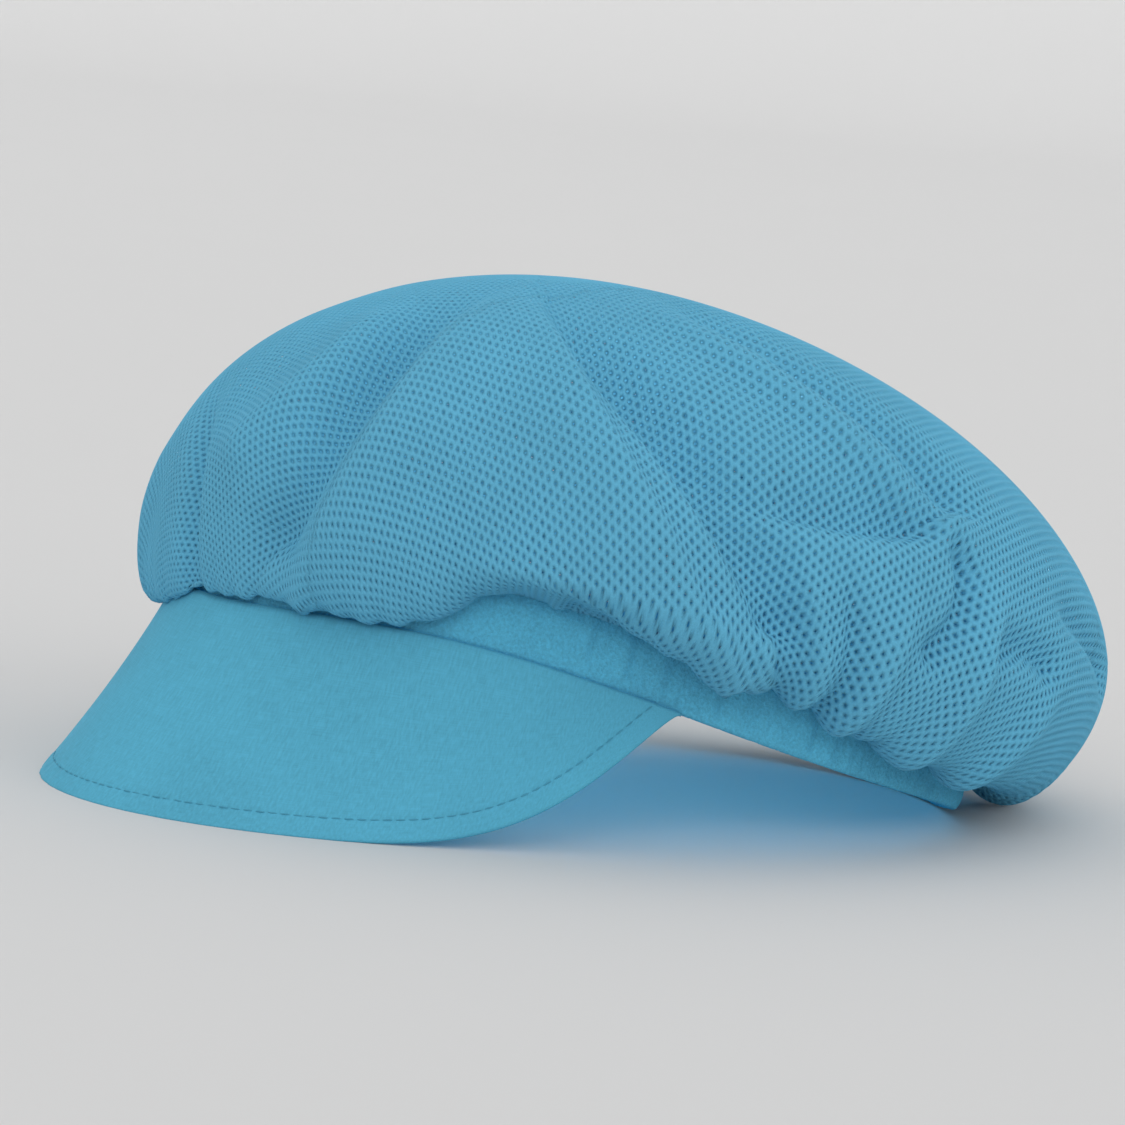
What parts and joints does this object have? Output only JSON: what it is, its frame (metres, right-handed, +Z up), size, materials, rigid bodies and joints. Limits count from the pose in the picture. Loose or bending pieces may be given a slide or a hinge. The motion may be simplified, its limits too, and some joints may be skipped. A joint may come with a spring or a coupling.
{
  "type": "mesh cap with visor",
  "caption": "Hollow puffed mesh crown gathered into a narrow head band, with a soft visor sewn to its front half and drooping from it.",
  "frame": {"origin": "on the floor, under the middle of the cap's box", "axes": "+Z up, -Y out of the front of the cap, where the visor is, +X to the wearer's left"},
  "size_m": [0.2106, 0.277, 0.1291],
  "materials": {
    "net_cloth": "knitted polyester net with round holes, matt",
    "band_cloth": "the same net, doubled and gathered, matt",
    "visor_cloth": "fine plain weave, matt"
  },
  "bodies": {
    "root": {"crown": "net_cloth", "band": "band_cloth", "visor": "visor_cloth"}
  },
  "joints": []
}
